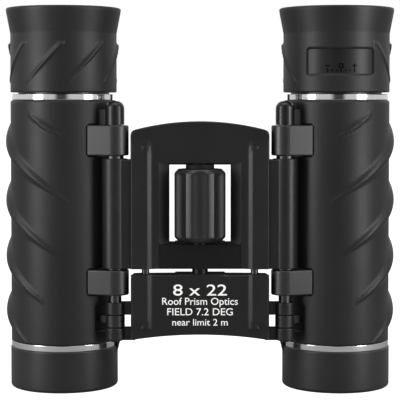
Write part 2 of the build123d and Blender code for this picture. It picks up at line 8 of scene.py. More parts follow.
# %% Load the frame and note the CAD box
import json
import math
import bpy
import numpy as np
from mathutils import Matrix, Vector


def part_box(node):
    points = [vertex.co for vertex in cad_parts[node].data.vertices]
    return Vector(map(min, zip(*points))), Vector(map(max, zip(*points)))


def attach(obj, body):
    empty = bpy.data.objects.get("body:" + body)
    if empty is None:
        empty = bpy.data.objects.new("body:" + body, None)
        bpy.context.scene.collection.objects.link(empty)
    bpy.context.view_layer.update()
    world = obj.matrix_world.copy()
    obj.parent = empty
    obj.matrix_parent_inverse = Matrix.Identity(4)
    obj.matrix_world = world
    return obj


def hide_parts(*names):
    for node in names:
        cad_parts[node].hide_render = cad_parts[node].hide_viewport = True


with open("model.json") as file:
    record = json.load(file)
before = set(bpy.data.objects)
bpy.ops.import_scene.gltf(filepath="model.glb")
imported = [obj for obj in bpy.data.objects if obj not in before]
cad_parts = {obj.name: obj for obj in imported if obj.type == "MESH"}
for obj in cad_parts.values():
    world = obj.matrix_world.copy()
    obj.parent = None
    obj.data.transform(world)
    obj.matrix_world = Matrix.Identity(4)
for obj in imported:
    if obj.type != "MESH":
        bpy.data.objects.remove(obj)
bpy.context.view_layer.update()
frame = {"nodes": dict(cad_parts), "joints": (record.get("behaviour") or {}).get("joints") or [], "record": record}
MM = 0.001

# %% [markdown]
# ## Places taken from the frame
# Each barrel is a set of round parts on one axis. The trim ring at its foot is a plain ring, so the
# middle of its box is the barrel's axis. The hinge axes are the pivots of the two folding joints.

# %% Barrel axes and hinge axes
SIDES = {"left": -1, "right": 1}


def centre(node):
    """Middle of a CAD node's box."""
    low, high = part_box(node)
    return [(a + b) / 2 for a, b in zip(low, high)]


def joint_place(name):
    """Pivot of a joint, in metres."""
    return next(j["pos_m"] for j in frame["joints"] if j["name"] == name)


barrel_x, barrel_y, _ = centre("right_lower_trim_ring")
hinge_x, hinge_y, _ = joint_place("right_barrel_fold")
ARMOUR_WALL = 0.65          # rubber over the tube, mm
armour_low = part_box("right_armour")[0][2]
armour_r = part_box("right_armour")[1][0] - barrel_x
tube_r = armour_r - ARMOUR_WALL * MM
print("barrel axis", barrel_x, barrel_y, "hinge axis", hinge_x, hinge_y)
print("armour radius in mm", round(armour_r / MM, 2))


# %% [markdown]
# ## Outlines with rounded corners
# A ring-shaped part is a closed outline carried once round its axis. On a moulded or turned part no
# corner is sharp, and each has its own radius. A Bevel modifier could round them, but it gives
# every edge of a piece one width, so the outline is a list of corners that each bring their own
# rounding.

# %% Rounded outlines
def rounded(corners, steps=5):
    """Closed outline from (r, z, rounding) corners; each is an arc tangent to its two sides."""
    points = []
    count = len(corners)
    for i, (r, z, fillet) in enumerate(corners):
        here = np.array([r, z])
        before = np.array(corners[i - 1][:2]) - here
        after = np.array(corners[(i + 1) % count][:2]) - here
        if fillet <= 0:
            points.append(here)
            continue
        u = before / np.linalg.norm(before)
        v = after / np.linalg.norm(after)
        half = math.acos(np.clip(u @ v, -1, 1)) / 2
        room = 0.49 * min(np.linalg.norm(before), np.linalg.norm(after))
        reach = min(fillet / math.tan(half), room)
        size = reach * math.tan(half)
        middle = here + (u + v) / np.linalg.norm(u + v) * (size / math.sin(half))
        start = here + u * reach - middle
        end = here + v * reach - middle
        turn = math.atan2(start[0] * end[1] - start[1] * end[0], start @ end)
        for t in np.linspace(0, turn, steps):
            c, s = math.cos(t), math.sin(t)
            points.append(middle + [start[0] * c - start[1] * s, start[0] * s + start[1] * c])
    return np.array(points)


def densify(outline, gap):
    """Splits each side of a closed outline so that no step is longer than gap."""
    parts = []
    for a, b in zip(outline, np.roll(outline, -1, axis=0)):
        count = max(1, int(np.ceil(np.linalg.norm(b - a) / gap)))
        t = np.arange(count)[:, None] / count
        parts.append(a + (b - a) * t)
    return np.vstack(parts)


test_square = rounded([(0, 0, 1), (4, 0, 1), (4, 4, 1), (0, 4, 1)])
print("a rounded square has", len(test_square), "points, then", len(densify(test_square, 0.5)))

# %% [markdown]
# ## Meshes from grids
# The points of such a part fit in a grid, and when rows and columns both join up with themselves
# the surface has no seam and no pole. Blender's Screw modifier could turn an outline too, but ribs,
# flutes and windows have to change the radius from place to place, and a grid of points allows
# that. The whole grid goes into the mesh in one step.

# %% A mesh from a grid of points
def grid_piece(name, points, flip=False, close_rows=True, close_columns=True):
    """Mesh from a grid of points, rows by columns, whose last row and column join the first."""
    rows, columns = points.shape[:2]
    number = np.arange(rows * columns).reshape(rows, columns)
    down = np.roll(number, -1, axis=0)
    across = np.roll(number, -1, axis=1)
    both = np.roll(down, -1, axis=1)
    quads = np.stack([number, down, both, across], axis=-1)
    if not close_rows:
        quads = quads[:-1]
    if not close_columns:
        quads = quads[:, :-1]
    quads = quads.reshape(-1, 4)
    if flip:
        quads = quads[:, ::-1]
    mesh = bpy.data.meshes.new(name)
    mesh.vertices.add(rows * columns)
    mesh.vertices.foreach_set("co", points.astype(np.float32).ravel())
    mesh.loops.add(quads.size)
    mesh.loops.foreach_set("vertex_index", quads.astype(np.int32).ravel())
    mesh.polygons.add(len(quads))
    mesh.polygons.foreach_set("loop_start", np.arange(0, quads.size, 4, dtype=np.int32))
    mesh.polygons.foreach_set("use_smooth", np.ones(len(quads), dtype=bool))
    mesh.update(calc_edges=True)
    mesh.validate()
    piece = bpy.data.objects.new(name, mesh)
    bpy.context.scene.collection.objects.link(piece)
    print(name, len(quads), "faces")
    return piece


# %% [markdown]
# ## Riding on a body
# Every piece moves with one body of the frame, so it is told which. A skin also stands for the
# plain CAD node that it covers, and takes its material slot.

# %% Finishing a piece, and the way round a barrel
def finish_piece(piece, body, node, material):
    """The piece rides on a body, stands for a CAD node and takes its finish."""
    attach(piece, body)
    if node:
        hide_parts(node)
    piece.data.materials.append(material)


def round_barrel(side, angles, outline_r, outline_z):
    """Points round a barrel: angle 0 faces the front, positive angles turn outboard."""
    x = side * (barrel_x + outline_r * np.sin(angles))
    y = barrel_y - outline_r * np.cos(angles)
    return np.stack([x, y, outline_z + 0 * x], axis=-1)


def smooth_step(t):
    """0 below 0, 1 above 1, and an S curve between."""
    t = np.clip(t, 0, 1)
    return t * t * (3 - 2 * t)


print("halfway up the S curve:", float(smooth_step(0.5)))

# %% [markdown]
# ## Effects that the finishes share
# Black rubber and black plastic differ mostly in how they scatter light. Three shader groups hold
# what the finishes share: a fine grain that feeds a bump, a slow drift of roughness and shade like
# handling marks, and a little dust that settles on what faces up. The same nodes could be repeated
# in each material, but a group is built once and takes each material's own numbers.

# %% Empty groups and new nodes
def new_group(name, inputs, outputs):
    """Empty shader group with named sockets."""
    group = bpy.data.node_groups.new(name, "ShaderNodeTree")
    for label, kind, value in inputs:
        socket = group.interface.new_socket(name=label, in_out="INPUT", socket_type=kind)
        socket.default_value = value
    for label, kind in outputs:
        group.interface.new_socket(name=label, in_out="OUTPUT", socket_type=kind)
    start = group.nodes.new("NodeGroupInput")
    end = group.nodes.new("NodeGroupOutput")
    return group, start, end


def add(tree, kind, **settings):
    """New node with its settings and its unlinked input values."""
    node = tree.nodes.new(kind)
    for key, value in settings.pop("values", {}).items():
        node.inputs[key].default_value = value
    for key, value in settings.items():
        setattr(node, key, value)
    return node


# %% [markdown]
# ## Moulded grain
# A mould is etched or blasted, and its fine pits print off on the rubber. An image of grain would
# stretch over the ribs, so two noises on Object coordinates give the height.

# %% Build the grain group
def build_grain():
    """Fine moulded grain: a height from two noises on Object coordinates."""
    group, start, end = new_group(
        "moulded_grain",
        [("Scale", "NodeSocketFloat", 3000.0), ("Pits", "NodeSocketFloat", 0.5)],
        [("Height", "NodeSocketFloat"), ("Mask", "NodeSocketFloat")])
    place = add(group, "ShaderNodeTexCoord")
    fine = add(group, "ShaderNodeTexNoise", values={"Detail": 3.0, "Roughness": 0.6})
    cells = add(group, "ShaderNodeTexVoronoi", feature="SMOOTH_F1")
    mix = add(group, "ShaderNodeMix", data_type="FLOAT")
    for texture in (fine, cells):
        group.links.new(place.outputs["Object"], texture.inputs["Vector"])
        group.links.new(start.outputs["Scale"], texture.inputs["Scale"])
    group.links.new(start.outputs["Pits"], mix.inputs["Factor"])
    group.links.new(fine.outputs["Fac"], mix.inputs[2])
    group.links.new(cells.outputs["Distance"], mix.inputs[3])
    group.links.new(mix.outputs[0], end.inputs["Height"])
    group.links.new(cells.outputs["Distance"], end.inputs["Mask"])
    return group


GRAIN = build_grain()
print("group", GRAIN.name, "with", len(GRAIN.nodes), "nodes")


# %% [markdown]
# ## Handling marks
# Where hands hold the rubber it gets a little smoother, with no clear border. A slow noise drifts
# between two values, which a material uses for its roughness and its shade.

# %% Build the handling group
def build_handling():
    """Slow drift between two values, like the shine that handling leaves."""
    group, start, end = new_group(
        "handling_marks",
        [("Scale", "NodeSocketFloat", 60.0), ("Low", "NodeSocketFloat", 0.35),
         ("High", "NodeSocketFloat", 0.5)],
        [("Value", "NodeSocketFloat"), ("Mask", "NodeSocketFloat")])
    place = add(group, "ShaderNodeTexCoord")
    noise = add(group, "ShaderNodeTexNoise", values={"Detail": 4.0, "Roughness": 0.55})
    spread = add(group, "ShaderNodeMapRange", values={"From Min": 0.3, "From Max": 0.7})
    group.links.new(place.outputs["Object"], noise.inputs["Vector"])
    group.links.new(start.outputs["Scale"], noise.inputs["Scale"])
    group.links.new(noise.outputs["Fac"], spread.inputs["Value"])
    group.links.new(start.outputs["Low"], spread.inputs["To Min"])
    group.links.new(start.outputs["High"], spread.inputs["To Max"])
    group.links.new(spread.outputs["Result"], end.inputs["Value"])
    group.links.new(noise.outputs["Fac"], end.inputs["Mask"])
    return group


HANDLING = build_handling()
print("group", HANDLING.name, "with", len(HANDLING.nodes), "nodes")


# %% [markdown]
# ## Settled dust
# Dust lies on what faces up and leaves walls clean. The mask multiplies how far the surface faces
# up, from its normal, by specks from a fine noise.

# %% Build the dust group
def build_dust():
    """Mask of light dust: specks from a fine noise, only where the surface faces up."""
    group, start, end = new_group(
        "settled_dust",
        [("Amount", "NodeSocketFloat", 0.3), ("Scale", "NodeSocketFloat", 900.0)],
        [("Mask", "NodeSocketFloat")])
    place = add(group, "ShaderNodeTexCoord")
    noise = add(group, "ShaderNodeTexNoise", values={"Detail": 6.0, "Roughness": 0.7})
    up = add(group, "ShaderNodeSeparateXYZ")
    facing = add(group, "ShaderNodeMapRange", values={"From Min": 0.35, "From Max": 1.0})
    specks = add(group, "ShaderNodeMapRange", values={"From Min": 0.5, "From Max": 0.75})
    once = add(group, "ShaderNodeMath", operation="MULTIPLY")
    twice = add(group, "ShaderNodeMath", operation="MULTIPLY")
    group.links.new(place.outputs["Object"], noise.inputs["Vector"])
    group.links.new(start.outputs["Scale"], noise.inputs["Scale"])
    group.links.new(place.outputs["Normal"], up.inputs[0])
    group.links.new(up.outputs["Z"], facing.inputs["Value"])
    group.links.new(noise.outputs["Fac"], specks.inputs["Value"])
    group.links.new(facing.outputs["Result"], once.inputs[0])
    group.links.new(specks.outputs["Result"], once.inputs[1])
    group.links.new(once.outputs[0], twice.inputs[0])
    group.links.new(start.outputs["Amount"], twice.inputs[1])
    group.links.new(twice.outputs[0], end.inputs["Mask"])
    return group


DUST = build_dust()
print("group", DUST.name, "with", len(DUST.nodes), "nodes")


# %% [markdown]
# ## Black rubber and plastic
# The armour is dull rubber, the bridge and the hoods are smoother plastic. All are the same recipe
# with other numbers: a nearly black shade, a range of roughness, and the scale and depth of the
# grain. One function makes them all, so a change to the recipe reaches every finish.

# %% Black moulded finishes
def use(tree, group, **values):
    """Places a group in a material with its own values."""
    node = tree.nodes.new("ShaderNodeGroup")
    node.node_tree = group
    for key, value in values.items():
        node.inputs[key].default_value = value
    return node


def moulded(name, shade, rough, grain_scale, grain_depth, dust=0.06, specular=0.5):
    """Black rubber or plastic: grain in the bump, drifting roughness, dust on what faces up."""
    material = bpy.data.materials.new(name)
    material.use_nodes = True
    tree = material.node_tree
    shader = tree.nodes["Principled BSDF"]
    grain = use(tree, GRAIN, Scale=grain_scale, Pits=0.5)
    marks = use(tree, HANDLING, Low=rough[0], High=rough[1])
    dusty = use(tree, DUST, Amount=dust)
    bump = add(tree, "ShaderNodeBump", values={"Strength": 1.0, "Distance": grain_depth})
    tint = add(tree, "ShaderNodeMix", data_type="RGBA")
    tint.inputs[6].default_value = (*[c * 0.8 for c in shade], 1)
    tint.inputs[7].default_value = (*[c * 1.25 for c in shade], 1)
    grey = add(tree, "ShaderNodeMix", data_type="RGBA")
    grey.inputs[7].default_value = (0.32, 0.31, 0.29, 1)
    tree.links.new(marks.outputs["Mask"], tint.inputs["Factor"])
    tree.links.new(tint.outputs[2], grey.inputs[6])
    tree.links.new(dusty.outputs["Mask"], grey.inputs["Factor"])
    tree.links.new(grey.outputs[2], shader.inputs["Base Color"])
    tree.links.new(marks.outputs["Value"], shader.inputs["Roughness"])
    tree.links.new(grain.outputs["Height"], bump.inputs["Height"])
    tree.links.new(bump.outputs["Normal"], shader.inputs["Normal"])
    shader.inputs["Specular IOR Level"].default_value = specular
    return material


ARMOUR = moulded("armour_rubber", (0.0095, 0.0095, 0.0098), (0.40, 0.50),
                 2600.0, 0.00003, specular=0.28)
EYECUP = moulded("eyecup_rubber", (0.0100, 0.0100, 0.0103), (0.40, 0.50),
                 3200.0, 0.00002, specular=0.30)
BRIDGE = moulded("bridge_black", (0.0085, 0.0085, 0.0088), (0.34, 0.42),
                 4200.0, 0.000015, specular=0.32)
BARREL = moulded("barrel_black", (0.0100, 0.0100, 0.0103), (0.34, 0.40),
                 5000.0, 0.00001, specular=0.56)
HOOD = moulded("hood_black", (0.0085, 0.0085, 0.0088), (0.34, 0.42), 5000.0, 0.00001, specular=0.42)
CAP = moulded("cap_rubber", (0.0050, 0.0050, 0.0052), (0.27, 0.33), 5000.0, 0.00001, specular=0.36)
WHEEL = moulded("wheel_rubber", (0.0100, 0.0100, 0.0103), (0.34, 0.42),
                3600.0, 0.00001, specular=0.40)
# painted shade: near-black dull finish for the sheet that darkens the recess under the window
PAINTED_SHADE_FINISH = moulded("recess_painted_shade", (0.0040, 0.0040, 0.0042), (0.44, 0.5),
                4200.0, 0.00001, specular=0.2)
INNER = moulded("inner_black", (0.0045, 0.0045, 0.0045), (0.55, 0.7),
                3000.0, 0.00003, dust=0.1, specular=0.2)
SCREW = moulded("screw_black", (0.008, 0.008, 0.0083), (0.25, 0.35), 6000.0, 0.00001, dust=0.1)
print("black finishes:", len(bpy.data.materials))

# %% [markdown]
# ## Metal
# The trim rings are bright turned metal, the hinge rods and the spindle are dark steel. Turning
# leaves fine streaks round the axis. A Mapping node squeezes a noise along the height, so it
# becomes thin rings that vary the roughness and feed a very shallow bump.

# %% Metals
def metal(name, colour, rough, streak_scale, depth):
    """Turned or ground metal: fine streaks round the barrel vary the roughness and the bump."""
    material = bpy.data.materials.new(name)
    material.use_nodes = True
    tree = material.node_tree
    shader = tree.nodes["Principled BSDF"]
    place = add(tree, "ShaderNodeTexCoord")
    stretch = add(tree, "ShaderNodeMapping", values={"Scale": (1.0, 1.0, streak_scale)})
    noise = add(tree, "ShaderNodeTexNoise", values={"Scale": 300.0, "Detail": 3.0})
    spread = add(tree, "ShaderNodeMapRange", values={"To Min": rough[0], "To Max": rough[1]})
    bump = add(tree, "ShaderNodeBump", values={"Strength": 1.0, "Distance": depth})
    tree.links.new(place.outputs["Object"], stretch.inputs["Vector"])
    tree.links.new(stretch.outputs["Vector"], noise.inputs["Vector"])
    tree.links.new(noise.outputs["Fac"], spread.inputs["Value"])
    tree.links.new(spread.outputs["Result"], shader.inputs["Roughness"])
    tree.links.new(noise.outputs["Fac"], bump.inputs["Height"])
    tree.links.new(bump.outputs["Normal"], shader.inputs["Normal"])
    shader.inputs["Base Color"].default_value = (*colour, 1)
    shader.inputs["Metallic"].default_value = 1.0
    return material


SILVER = metal("trim_silver", (0.70, 0.70, 0.71), (0.08, 0.14), 8.0, 0.000001)
STEEL = metal("rod_steel", (0.07, 0.07, 0.073), (0.3, 0.4), 6.0, 0.000004)
OXIDE = metal("spindle_steel", (0.02, 0.02, 0.021), (0.35, 0.45), 10.0, 0.000006)
print("metals:", [m.name for m in (SILVER, STEEL, OXIDE)])


# %% [markdown]
# ## Glass
# Lenses and prisms are clear glass. The outer lenses carry a coating whose reflection is tinted: a
# coat layer with its own tint does that, and its colour follows the light and the angle by itself.

# %% Glass
def coated_glass(name, tint, coat_colour, strength):
    """Lens glass under a tinted coat; handling marks vary its roughness a little."""
    material = bpy.data.materials.new(name)
    material.use_nodes = True
    tree = material.node_tree
    shader = tree.nodes["Principled BSDF"]
    marks = use(tree, HANDLING, Scale=90.0, Low=0.01, High=0.05)
    tree.links.new(marks.outputs["Value"], shader.inputs["Roughness"])
    shader.inputs["Base Color"].default_value = (*tint, 1)
    shader.inputs["Transmission Weight"].default_value = 1.0
    shader.inputs["IOR"].default_value = 1.52
    shader.inputs["Coat Weight"].default_value = strength
    shader.inputs["Coat Tint"].default_value = (*coat_colour, 1)
    shader.inputs["Coat Roughness"].default_value = 0.02
    return material


LENS = coated_glass("coated_lens", (0.55, 0.75, 0.85), (0.35, 0.65, 1.0), 0.6)
CLEAR = coated_glass("lens_glass", (0.93, 0.97, 0.96), (0.8, 1.0, 0.9), 0.2)
PRISM = coated_glass("prism_glass", (0.92, 0.97, 0.95), (0.9, 1.0, 0.95), 0.1)
print("glasses:", [m.name for m in (LENS, CLEAR, PRISM)])


# %% [markdown]
# ## Scale plate and inks
# The scale plate is smooth dark plastic. The printing is ink in a thin film with no shape of its
# own, so its material is only a colour that wears a little, by a fine noise.

# %% Scale plate and inks
SCALE = moulded("scale_plate", (0.0075, 0.0075, 0.0078), (0.34, 0.42),
                6000.0, 0.000004, dust=0.0, specular=0.26)


def print_ink(name, colour, specular=0.5):
    """Matt ink, slightly worn: a fine noise drops its brightness here and there."""
    material = bpy.data.materials.new(name)
    material.use_nodes = True
    tree = material.node_tree
    shader = tree.nodes["Principled BSDF"]
    marks = use(tree, HANDLING, Scale=2500.0, Low=0.0, High=1.0)
    mix = add(tree, "ShaderNodeMix", data_type="RGBA")
    mix.inputs[6].default_value = (*[c * 0.86 for c in colour], 1)
    mix.inputs[7].default_value = (*colour, 1)
    tree.links.new(marks.outputs["Value"], mix.inputs["Factor"])
    tree.links.new(mix.outputs[2], shader.inputs["Base Color"])
    shader.inputs["Roughness"].default_value = 0.5
    shader.inputs["Specular IOR Level"].default_value = specular
    return material


INK = print_ink("white_ink", (0.90, 0.90, 0.88))
MARK = print_ink("mark_ink", (0.0010, 0.0010, 0.0011), specular=0.03)
print("materials:", len(bpy.data.materials))

# %% [markdown]
# ## Finish of the CAD parts
# Hinges, rods, rings, lenses and plates come from CAD at their real size, and need no new shape.
# Each takes the finish of its material slot, and its mesh stays as it is. The objective cells show
# at the front, so they take the hood's finish, and the rod caps are of a smoother rubber than the
# armour.

# %% Materials on the CAD nodes
FINISHES = {"armour_rubber": ARMOUR, "eyecup_rubber": EYECUP, "barrel_black": BARREL,
            "hood_black": HOOD, "trim_silver": SILVER, "inner_black": INNER, "prism_glass": PRISM,
            "coated_lens": LENS, "lens_glass": CLEAR, "rod_steel": STEEL, "bridge_black": BRIDGE,
            "screw_black": SCREW, "scale_plate": SCALE, "spindle_steel": OXIDE,
            "wheel_core": INNER, "wheel_rubber": WHEEL}
node_slot = {part["node"]: part["material_slot"] for part in frame["record"]["subparts"]}
SPECIAL = {"left_objective_cell": HOOD, "right_objective_cell": HOOD,
           "left_rod_cap": CAP, "right_rod_cap": CAP}
for node, piece in frame["nodes"].items():
    piece.data.materials.clear()
    piece.data.materials.append(SPECIAL.get(node, FINISHES[node_slot[node]]))
print("finished", len(frame["nodes"]), "CAD nodes")

# %% [markdown]
# ## Rubber armour
# The armour is a thin sleeve with long slanted ribs that stand proud on the outboard side and fade
# towards the front. The ribs follow helices. A grid round the barrel carries them as a change of
# radius, and the lug openings as places where the radius drops to the tube underneath. Ribs could
# be separate strips laid on the sleeve, but moulded rubber has no joint at a rib's foot.

# %% Armour numbers
RIB_TOPS = (61.0, 46.7, 33.0, 19.5)     # heights of the ribs on the outboard side, mm
RIB_RISE = 13.8                         # rise of a rib in a quarter turn, mm
RIB_PROUD = 1.2                         # height of a rib on the outboard side, mm
RIB_FRONT = 0.42                        # and where it has thinned out towards the front
RIB_ENDS = (-9.0, 2.0, 17.0, 38.0)      # where each rib fades out, degrees outboard of the front
LEAF_PROUD = 0.5                        # height of the leaf under the shoulder, mm
LEAF_ANGLE, LEAF_HALF = 16.5, 20.5      # its middle and its half length, degrees
LEAF_Z = 64.0                           # height of its middle, mm
print("ribs per barrel:", len(RIB_TOPS))

# %% [markdown]
# ## Ribs as a function
# A helix is a straight line when the sleeve is unrolled: height against angle. So the distance from
# a rib is the height less the helix's height at that angle, and a rounded bump of that distance is
# the rib. The same function works on the whole grid at once.

# %% Ribs and leaf
def bump_shape(t):
    """A rounded ridge: 1 at t = 0, 0 from |t| = 1 outwards, smooth everywhere."""
    t = np.clip(np.abs(t), 0, 1)
    return (1 - t * t) ** 2


def ribs(angle, z):
    """Height in mm of the ribs at an angle outboard of the front, in degrees, and a height in mm.

    Each rib's crest climbs as the angle grows. It is tall and wide outboard, thins to a slim
    ridge towards the front and, mirrored, on the back, and runs out at its end. A short leaf with
    one steep edge stands over the front.
    """
    total = np.zeros_like(angle + z)
    for top, end in zip(RIB_TOPS, RIB_ENDS):
        crest = top + RIB_RISE * (angle - 90) / 90
        reach = np.minimum(angle - end, 180 - end - angle)
        grown = smooth_step(reach / (90 - end))
        runout = np.sqrt(np.clip(reach / 14, 0, 1))
        off = z - crest
        width_up = 0.75 + 3.1 * grown
        width_down = 0.65 + 2.7 * grown
        section = bump_shape(off / np.where(off > 0, width_up, width_down))
        proud = (RIB_FRONT + (RIB_PROUD - RIB_FRONT) * grown) * runout
        total = np.maximum(total, proud * section)
    life = np.clip(1 - np.abs(angle - LEAF_ANGLE) / LEAF_HALF, 0, 1)
    crest = LEAF_Z + 0.146 * (angle - LEAF_ANGLE) - 0.5 * life
    off = z - crest
    wide = 0.3 + 1.5 * life ** 0.8
    leaf = np.where(off > 0, 1 - off / wide, 1 + off / 0.35)
    return np.maximum(total, LEAF_PROUD * np.clip(leaf, 0, 1) * smooth_step(life * 3))


print("rib height outboard:", round(float(ribs(np.array(90.0), np.array(61.0))), 2), "mm")

# %% [markdown]
# ## The sleeve
# The rubber leaves a little room round each hinge lug and round the focus arm. A Boolean modifier
# could cut these openings, but it breaks the neat grid. Here the grid gets close pairs of rows and
# columns at each edge, and the radius drops between them, so the walls come out steep.

# %% Build the armour
upper_lug = (56.8 * MM, 64.0 * MM)
lower_lug = (23.5 * MM, 29.5 * MM)
arm_slot_z = (14.35 * MM, 20.55 * MM)
OUTLINE = 0.3 * MM          # room round a lug
SHOULDER, SHOULDER_ROUND = 70.0 * MM, 0.6 * MM
LUG_EDGES = (-100.0, -31.5)     # the lugs' pocket, degrees outboard of the front
SLOT_HALF = 12.0            # half width of the arm's slot, degrees
SKIN_GAP = 0.03 * MM        # the floor of an opening stands this far off the tube


def stepped(values, edges, width):
    """Sorted values with a close pair at each edge, so that a wall there is steep."""
    edges = np.asarray(edges)
    keep = values[np.min(np.abs(values[:, None] - edges[None]), axis=1) > 2 * width]
    return np.sort(np.concatenate([keep, edges - width, edges + width]))


def sleeve_outline(z_edges):
    """Radii and heights of the closed outline, and how many of them lie on the outer wall."""
    outer_z = stepped(np.linspace(armour_low, SHOULDER - SHOULDER_ROUND, 130), z_edges, 0.02 * MM)
    t = np.linspace(0, math.pi / 2, 6)[1:]
    edge_r = armour_r - SHOULDER_ROUND * (1 - np.cos(t))
    edge_z = SHOULDER - SHOULDER_ROUND * (1 - np.sin(t))
    inner_r = tube_r + 0.02 * MM
    r = np.concatenate([np.full(len(outer_z), armour_r), edge_r, [inner_r, inner_r]])
    z = np.concatenate([outer_z, edge_z, [SHOULDER, armour_low]])
    return r, z, len(outer_z)


def build_armour(label, side):
    """Sleeve with ribs, a rounded shoulder and pockets where the lugs and the focus arm pass."""
    bearing = math.degrees(math.atan2(-(barrel_x - hinge_x), barrel_y - hinge_y))
    slot_edges = (bearing - SLOT_HALF, bearing + SLOT_HALF)
    angles = stepped(np.linspace(-180, 180, 421)[:-1], [*LUG_EDGES, *slot_edges], 0.12)
    pockets = [(low - OUTLINE, high + OUTLINE) for low, high in (upper_lug, lower_lug)]
    r, z, outer = sleeve_outline([*pockets[0], *pockets[1], *arm_slot_z])
    degrees = angles[:, None]
    height = z[None, :]
    outside = (np.arange(len(z)) < outer)[None, :]
    proud = ribs(degrees, height / MM) * MM * outside
    opening = (degrees > slot_edges[0]) & (degrees < slot_edges[1])
    opening = opening & (height > arm_slot_z[0]) & (height < arm_slot_z[1])
    for low, high in pockets:
        beside_lug = (degrees > LUG_EDGES[0]) & (degrees < LUG_EDGES[1])
        opening = opening | (beside_lug & (height > low) & (height < high))
    proud = np.where(opening & outside, tube_r + SKIN_GAP - armour_r, proud)
    points = round_barrel(side, np.radians(degrees), r[None, :] + proud, height)
    piece = grid_piece(label + "_armour_skin", points, flip=side < 0)
    finish_piece(piece, label + "_barrel", label + "_armour", ARMOUR)


for label, side in SIDES.items():
    build_armour(label, side)

# %% [markdown]
# ## Eyecups
# An eyecup is one closed outline turned round its axis: skirt, waist, flare, rim, bowl and floor.
# Eight slanted grip ridges stand on the skirt. The right eyecup has a window over the dioptre
# scale. The outline could be a curve with a Screw modifier, but then ridges and window would need
# Booleans.

# %% Eyecup numbers and outline
eyecup_low, eyecup_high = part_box("right_eyecup")[0][2] / MM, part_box("right_eyecup")[1][2] / MM
flare_r = (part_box("right_eyecup")[1][0] - barrel_x) / MM
skirt_r = armour_r / MM + 0.01
NECK_R = 10.35              # bore of the eyecup's floor
SKIRT_BORE = 11.8
WAIST = 14.3                # height of the waist over the skirt's foot
CUP_RIDGES = 8
RIDGE_TURN = 41.5           # degrees that a ridge sweeps outboard on its way down
RIDGE_HIGH, RIDGE_LOW = 83.8, 74.3
RIDGE_PROUD = 0.62
WINDOW_HALF, WINDOW_LOW, WINDOW_HIGH = 38.8, 76.1, 82.2
WINDOW_CORNER = 0.8
WINDOW_FLOOR = 12.0         # the scale plate stands on this radius
eyecup_outline = densify(rounded([
    (SKIRT_BORE, eyecup_low, 0.15), (skirt_r, eyecup_low, 0.3),
    (skirt_r, eyecup_low + WAIST, 2.5), (flare_r - 0.12, eyecup_high - 1.0, 1.5),
    (flare_r, eyecup_high, 0.45), (flare_r - 1.25, eyecup_high, 0.3),
    (skirt_r - 1.45, eyecup_low + 13.7, 0.5), (NECK_R, eyecup_low + 13.7, 0.15),
    (NECK_R, eyecup_low + 12.5, 0.1), (SKIRT_BORE, eyecup_low + 12.5, 0.1)], steps=6), 0.36)
print("eyecup outline:", len(eyecup_outline), "points")

# %% [markdown]
# ## Ridges and window as functions
# Both are changes of the skirt's radius that depend on angle and height. The window is the distance
# to a rectangle with rounded corners, turned into a steep but smooth step.

# %% Ridges and window
def cup_ridges(angle, z, left_out=()):
    """Height in mm of the grip ridges, each steep on its inboard flank and easier outboard.

    A ridge's crest moves outboard as it goes down. It is tallest at its upper end, where it
    stops short, and runs out low down. Ridges are counted outboard from the front one, and
    those in left_out are skipped.
    """
    down = (RIDGE_HIGH - z) / (RIDGE_HIGH - RIDGE_LOW)
    pitch = 360 / CUP_RIDGES
    place = (angle + 5.9 - RIDGE_TURN * down) / pitch
    nearest = np.round(place)
    off = (place - nearest) * pitch
    arc = np.radians(off) * skirt_r
    taper = 1 - 0.6 * np.clip(down, 0, 1)
    ends = smooth_step(down / 0.03 + 0.5) * smooth_step((1 - down) / 0.08 + 0.5)
    flank = np.where(arc > 0, arc / (1.5 * taper + 0.2), -arc / 0.5)
    shown = ~np.isin(nearest, left_out)
    return RIDGE_PROUD * taper * ends * shown * np.clip(1 - flank, 0, 1) ** 1.3


def window_depth(angle, z, outline_r):
    """How far in mm the surface steps in at the scale window, a rectangle with rounded corners."""
    half_z = (WINDOW_HIGH - WINDOW_LOW) / 2 - WINDOW_CORNER
    half_x = math.radians(WINDOW_HALF) * skirt_r - WINDOW_CORNER
    dx = np.maximum(np.abs(np.radians(angle) * skirt_r) - half_x, 0)
    dz = np.maximum(np.abs(z - (WINDOW_HIGH + WINDOW_LOW) / 2) - half_z, 0)
    inside = WINDOW_CORNER - np.hypot(dx, dz)
    return (outline_r - WINDOW_FLOOR) * smooth_step(inside / 0.1 + 0.5)


print("ridge height at its top:", round(float(cup_ridges(0.0, 83.0).max()), 3), "mm at the front")


# %% [markdown]
# ## The two cups
# The left cup sits still on its barrel. The right cup is the grip of the dioptre ring, so it rides
# on that body and turns with it. Its window leaves out the two ridges that would cross it.

# %% Build the eyecups
def build_eyecup(label, side, has_window):
    """The outline carried round the barrel's axis, with ridges and window as changes of radius."""
    angles = np.linspace(-180, 180, 541)[:-1]
    if has_window:
        angles = stepped(angles, [-WINDOW_HALF, WINDOW_HALF], 0.22)
    degrees = angles[:, None]
    r, z = eyecup_outline[None, :, 0], eyecup_outline[None, :, 1]
    on_skirt = (r > skirt_r - 0.1) & (z > eyecup_low + 0.3) & (z < eyecup_high - 0.6)
    proud = cup_ridges(degrees, z, (-1, 0) if has_window else ()) * on_skirt
    if has_window:
        proud = proud - window_depth(degrees, z, r) * on_skirt
    points = round_barrel(side, np.radians(degrees), (r + proud) * MM, z * MM + 0 * degrees)
    piece = grid_piece(label + "_eyecup_skin", points, flip=side < 0)
    body = "diopter_ring" if has_window else "left_barrel"
    finish_piece(piece, body, label + "_eyecup", EYECUP)


build_eyecup("left", -1, False)
build_eyecup("right", 1, True)

# %% [markdown]
# ## Dioptre scale marks
# Small ink marks stand a hair above the curved scale plate: a row of ticks, a minus, a zero and a
# plus. Each is a flat shape bent round the plate. Text could be bent the same way, but a few
# rectangles are enough for signs this small, and they stay crisp.

